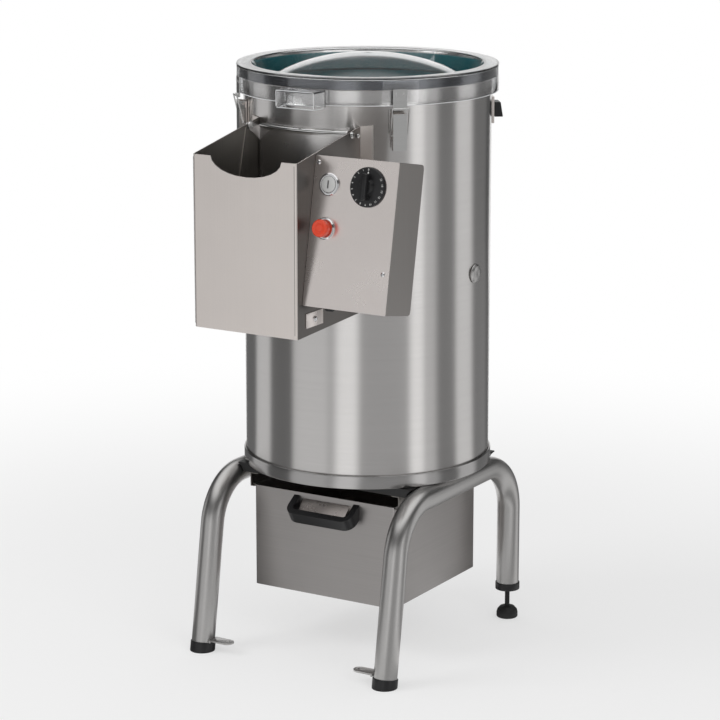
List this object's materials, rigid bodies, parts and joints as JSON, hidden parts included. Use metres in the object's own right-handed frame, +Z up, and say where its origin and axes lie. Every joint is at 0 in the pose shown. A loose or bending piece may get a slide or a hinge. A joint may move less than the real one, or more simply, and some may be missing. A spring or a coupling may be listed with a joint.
{
  "type": "potato peeler machine",
  "caption": "Upright potato peeler with a steel drum on a tube stand, a clear latched lid, a front chute with a hinged door, a tilted control box and a peel drawer under the drum.",
  "frame": {"origin": "on the floor under the middle of the whole machine's bounding box", "axes": "+Z up, -Y towards the user and the chute's front, +X towards the control box"},
  "size_m": [0.4506, 0.602, 0.9692],
  "materials": {
    "tube_steel": "satin stainless tube",
    "brushed_steel": "brushed stainless sheet",
    "drum_steel": "finely brushed stainless, near mirror",
    "polished_steel": "polished stainless",
    "chrome": "chromed",
    "cast_aluminium": "as cast and turned",
    "motor_enamel": "dark satin enamel",
    "clear_plastic": "clear moulded, glossy",
    "black_plastic": "satin black",
    "white_plastic": "glossy white",
    "red_plastic": "glossy red",
    "black_rubber": "matt black",
    "teal_abrasive": "teal resin with abrasive grit"
  },
  "bodies": {
    "frame": {"stand_tube_left": "tube_steel", "stand_tube_right": "tube_steel", "cross_bar_front": "tube_steel", "cross_bar_rear": "tube_steel", "front_cap_left": "black_plastic", "front_cap_right": "black_plastic", "rear_cap_left": "black_plastic", "rear_cap_right": "black_plastic", "runner_left": "brushed_steel", "runner_right": "brushed_steel", "base_pan": "polished_steel", "outer_casing": "drum_steel", "chamber_liner": "teal_abrasive", "chamber_floor": "brushed_steel", "bearing_housing": "cast_aluminium", "drive_belt": "black_rubber", "motor": "motor_enamel", "motor_plate": "brushed_steel", "drain_pipe": "brushed_steel", "side_plug": "polished_steel", "water_inlet": "polished_steel", "wiring_conduit": "black_plastic", "lid_gasket": "black_rubber", "lid_hinge_base": "brushed_steel", "sensor_bracket": "brushed_steel", "lid_sensor": "black_plastic", "latch_base_left": "brushed_steel", "latch_base_right": "brushed_steel", "discharge_chute": "brushed_steel", "door_bolt_left": "polished_steel", "door_bolt_right": "polished_steel", "control_box": "brushed_steel", "control_panel": "brushed_steel", "cable_gland": "black_plastic", "start_bezel": "chrome", "stop_bezel": "chrome", "timer_body": "black_plastic"},
    "lid": {"lid": "clear_plastic", "lid_hinge_leaf": "brushed_steel", "latch_catch_left": "polished_steel", "latch_catch_right": "polished_steel"},
    "lever_left": {"latch_lever_left": "polished_steel"},
    "lever_right": {"latch_lever_right": "polished_steel"},
    "bail_left": {"latch_bail_left": "polished_steel"},
    "bail_right": {"latch_bail_right": "polished_steel"},
    "door": {"outlet_door": "polished_steel"},
    "drawer": {"filter_drawer": "brushed_steel", "filter_screen": "brushed_steel", "drawer_handle": "black_plastic"},
    "disc": {"abrasive_disc": "teal_abrasive", "disc_nut": "polished_steel", "drive_shaft": "polished_steel", "driven_pulley": "cast_aluminium"},
    "rotor": {"motor_shaft": "polished_steel", "motor_pulley": "cast_aluminium"},
    "start": {"start_button": "white_plastic"},
    "stop": {"stop_button": "red_plastic"},
    "knob": {"timer_knob": "black_plastic"},
    "foot_left": {"rear_foot_left": "black_rubber"},
    "foot_right": {"rear_foot_right": "black_rubber"}
  },
  "joints": [
    {"name": "lid_hinge", "type": "hinge", "parent": "frame", "child": "lid", "pos_m": [-0.01425, 0.286, 0.918], "axis": [-1, 0, 0], "range_deg": [0, 90]},
    {"name": "lever_left_pivot", "type": "hinge", "parent": "frame", "child": "lever_left", "pos_m": [-0.1596, -0.08739, 0.8955], "axis": [-0.712, 0.7022, 0], "range_deg": [0, 90]},
    {"name": "lever_right_pivot", "type": "hinge", "parent": "frame", "child": "lever_right", "pos_m": [0.1311, -0.08739, 0.8955], "axis": [-0.712, -0.7022, 0], "range_deg": [0, 90]},
    {"name": "bail_left_pivot", "type": "hinge", "parent": "lever_left", "child": "bail_left", "pos_m": [-0.1596, -0.08739, 0.866], "axis": [-0.712, 0.7022, 0], "range_deg": [-90, 0]},
    {"name": "bail_right_pivot", "type": "hinge", "parent": "lever_right", "child": "bail_right", "pos_m": [0.1311, -0.08739, 0.866], "axis": [-0.712, -0.7022, 0], "range_deg": [-90, 0]},
    {"name": "door_hinge", "type": "hinge", "parent": "frame", "child": "door", "pos_m": [-0.01425, -0.145, 0.87], "axis": [-1, 0, 0], "range_deg": [0, 60]},
    {"name": "drawer_slide", "type": "slide", "parent": "frame", "child": "drawer", "axis": [0, -1, 0], "range_m": [0, 0.24]},
    {"name": "disc_spin", "type": "hinge", "parent": "frame", "child": "disc", "pos_m": [-0.01425, 0.06, 0.69], "axis": [0, 0, 1], "continuous": true},
    {"name": "motor_spin", "type": "hinge", "parent": "frame", "child": "rotor", "pos_m": [-0.01425, 0.17, 0.54], "axis": [0, 0, 1], "continuous": true},
    {"name": "start_press", "type": "slide", "parent": "frame", "child": "start", "axis": [0, 0.9833, -0.1822], "range_m": [0, 0.004], "stiffness_N_per_m": 500, "springref_m": -0.002},
    {"name": "stop_press", "type": "slide", "parent": "frame", "child": "stop", "axis": [0, 0.9833, -0.1822], "range_m": [0, 0.004], "stiffness_N_per_m": 500, "springref_m": -0.002},
    {"name": "timer_turn", "type": "hinge", "parent": "frame", "child": "knob", "pos_m": [0.17595, -0.25432, 0.81378], "axis": [0, 0.9833, -0.1822], "range_deg": [0, 300]},
    {"name": "foot_left_turn", "type": "hinge", "parent": "frame", "child": "foot_left", "pos_m": [-0.18825, 0.233, 0.01], "axis": [0, 0, 1], "continuous": true},
    {"name": "foot_right_turn", "type": "hinge", "parent": "frame", "child": "foot_right", "pos_m": [0.15975, 0.233, 0.01], "axis": [0, 0, 1], "continuous": true}
  ],
  "couplings": [
    {"joint": "motor_spin", "follows": "disc_spin", "ratio": 3.75},
    {"joint": "bail_left_pivot", "follows": "lever_left_pivot", "ratio": -1},
    {"joint": "bail_right_pivot", "follows": "lever_right_pivot", "ratio": -1}
  ]
}
